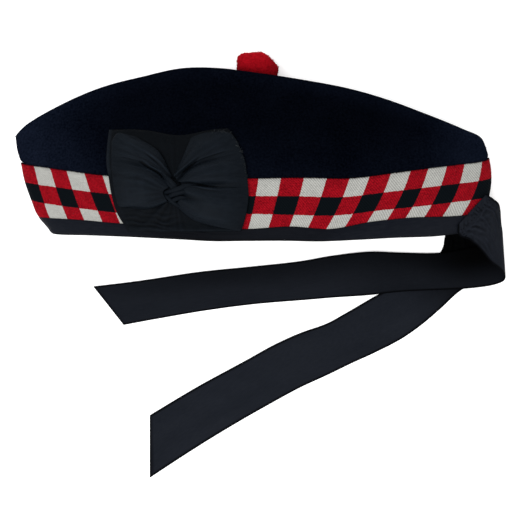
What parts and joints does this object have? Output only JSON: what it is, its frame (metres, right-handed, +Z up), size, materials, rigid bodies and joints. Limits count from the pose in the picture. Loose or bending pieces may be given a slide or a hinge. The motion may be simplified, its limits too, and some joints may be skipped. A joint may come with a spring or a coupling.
{
  "type": "glengarry cap",
  "caption": "Felt glengarry cap with a folded ridge top, diced band, ribbon binding, twisted bow cockade, red toorie and trailing ribbon tails, lying on its side.",
  "frame": {"origin": "under the middle of the whole part, on the surface that it lies on", "axes": "+Z up from that surface, through the cap's left side with the cockade. +X from the cap's front crease to its back crease. +Y from the mouth to the ridges."},
  "size_m": [0.333, 0.289, 0.0685],
  "materials": {
    "felt": "very dark navy wool felt",
    "dicing": "twill woven in red, white and black checks",
    "binding": "black ribbon, matt",
    "wool": "red wool, felted",
    "taffeta": "black taffeta with a slight sheen",
    "ribbon": "black ribbon with a fine weave"
  },
  "bodies": {
    "root": {"crown": "felt", "diced_band": "dicing", "edge_binding": "binding", "toorie": "wool", "cockade_panel": "taffeta", "cockade_left_loop": "taffeta", "cockade_right_loop": "taffeta", "ribbon_near": "ribbon", "ribbon_far": "ribbon"}
  },
  "joints": []
}
